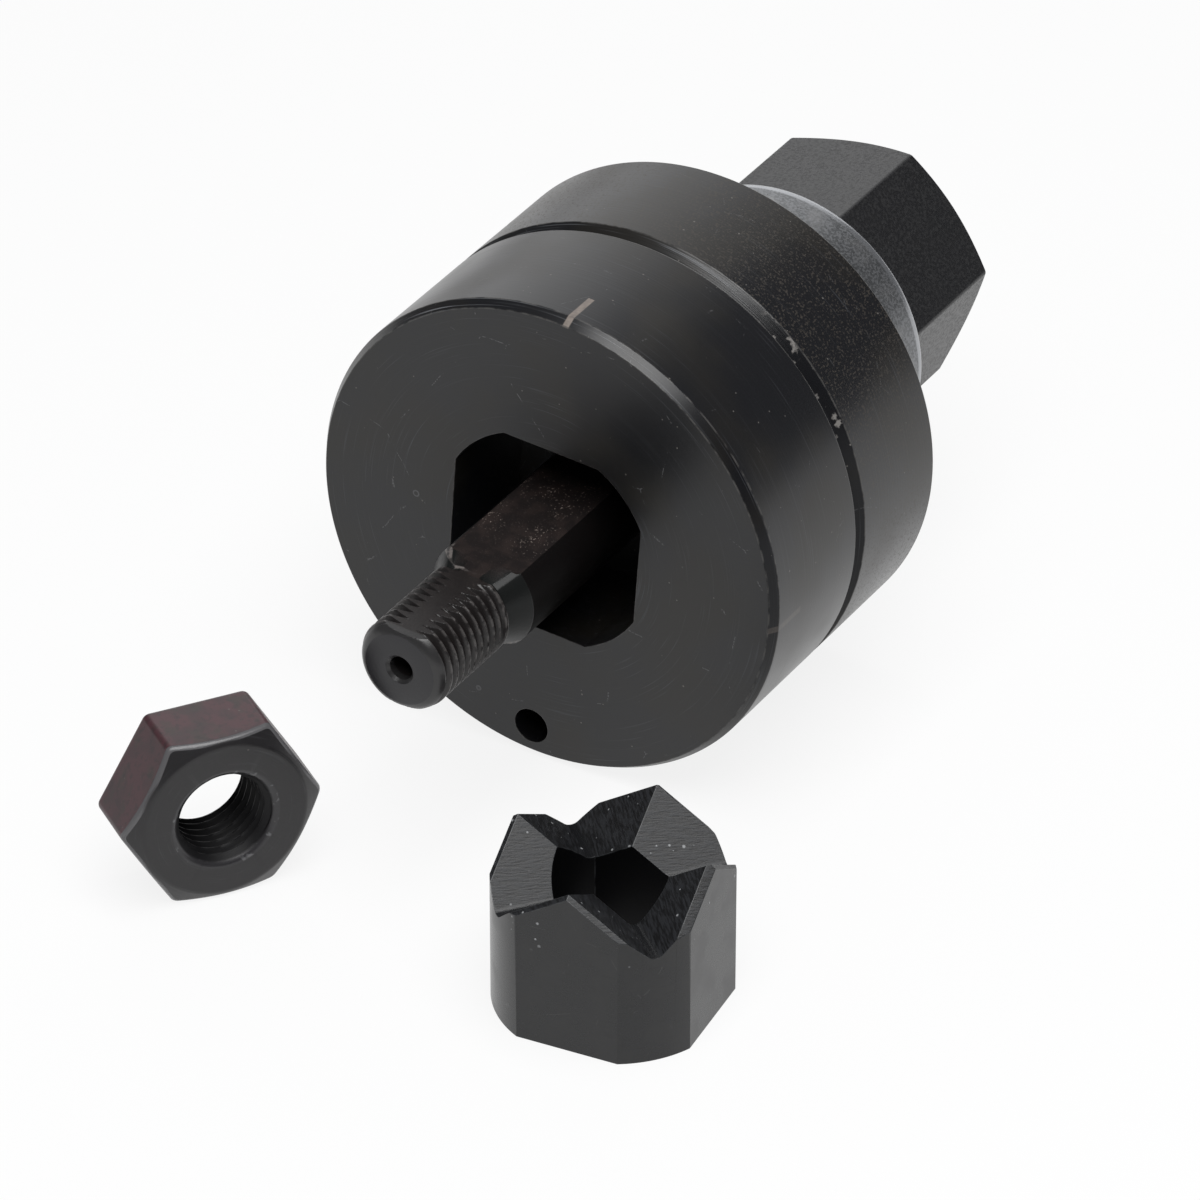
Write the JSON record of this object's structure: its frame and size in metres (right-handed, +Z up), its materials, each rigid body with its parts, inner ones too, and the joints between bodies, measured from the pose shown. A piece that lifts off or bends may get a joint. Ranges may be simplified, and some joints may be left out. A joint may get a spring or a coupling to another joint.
{
  "type": "knockout punch set",
  "caption": "Knockout punch set with a round cutting die, a flatted draw stud driven through a ball thrust bearing by a hex nut, a four-eared punch and its nut.",
  "frame": {"origin": "on the floor, under the middle of the set's bounding box", "axes": "+Z up, +Y along the die's axis from the cutting face to the drive nut, +X to the right of the die seen from its cutting face's front"},
  "size_m": [0.0606, 0.1046, 0.05],
  "materials": {
    "die_steel": "black oxide on ground tool steel, satin",
    "hex_steel": "black oxide, matt",
    "pin_steel": "ground",
    "stud_steel": "worn brown-black oxide",
    "cover_steel": "satin grey, speckled",
    "race_steel": "ground bearing steel",
    "ball_steel": "polished",
    "cage_brass": "stamped",
    "punch_steel": "black oxide with ground ear faces",
    "nut_steel": "purple-brown heat-treated oxide"
  },
  "bodies": {
    "die": {"die_ring": "die_steel", "die_base": "die_steel", "locating_pin": "pin_steel", "bearing_cover": "cover_steel", "front_race": "race_steel"},
    "drive": {"drive_nut": "hex_steel", "rear_race": "race_steel"},
    "cage": {"ball_cage": "cage_brass", "bearing_ball_01": "ball_steel", "bearing_ball_02": "ball_steel", "bearing_ball_03": "ball_steel", "bearing_ball_04": "ball_steel", "bearing_ball_05": "ball_steel", "bearing_ball_06": "ball_steel", "bearing_ball_07": "ball_steel", "bearing_ball_08": "ball_steel", "bearing_ball_09": "ball_steel", "bearing_ball_10": "ball_steel", "bearing_ball_11": "ball_steel", "bearing_ball_12": "ball_steel"},
    "stud": {"draw_stud": "stud_steel"},
    "punch": {"punch": "punch_steel"},
    "punch_nut": {"punch_nut": "nut_steel"}
  },
  "joints": [
    {"name": "drive_nut_turn", "type": "hinge", "parent": "die", "child": "drive", "pos_m": [-0.00513, -0.01022, 0.025], "axis": [0, -1, 0], "range_deg": [-2520, 3240]},
    {"name": "stud_draw", "type": "slide", "parent": "die", "child": "stud", "axis": [0, 1, 0], "range_m": [-0.0089, 0.01144]},
    {"name": "ball_cage_turn", "type": "hinge", "parent": "die", "child": "cage", "pos_m": [-0.00513, -0.01022, 0.025], "axis": [0, -1, 0], "range_deg": [-1260, 1620]},
    {"name": "punch_lift", "type": "slide", "parent": "die", "child": "punch", "axis": [0, 0, 1], "range_m": [0, 0.05]},
    {"name": "punch_nut_lift", "type": "slide", "parent": "die", "child": "punch_nut", "axis": [0, 0, 1], "range_m": [0, 0.05]}
  ],
  "couplings": [
    {"joint": "stud_draw", "follows": "drive_nut_turn", "m_per_rad": 0.00020213},
    {"joint": "ball_cage_turn", "follows": "drive_nut_turn", "ratio": 0.5}
  ]
}
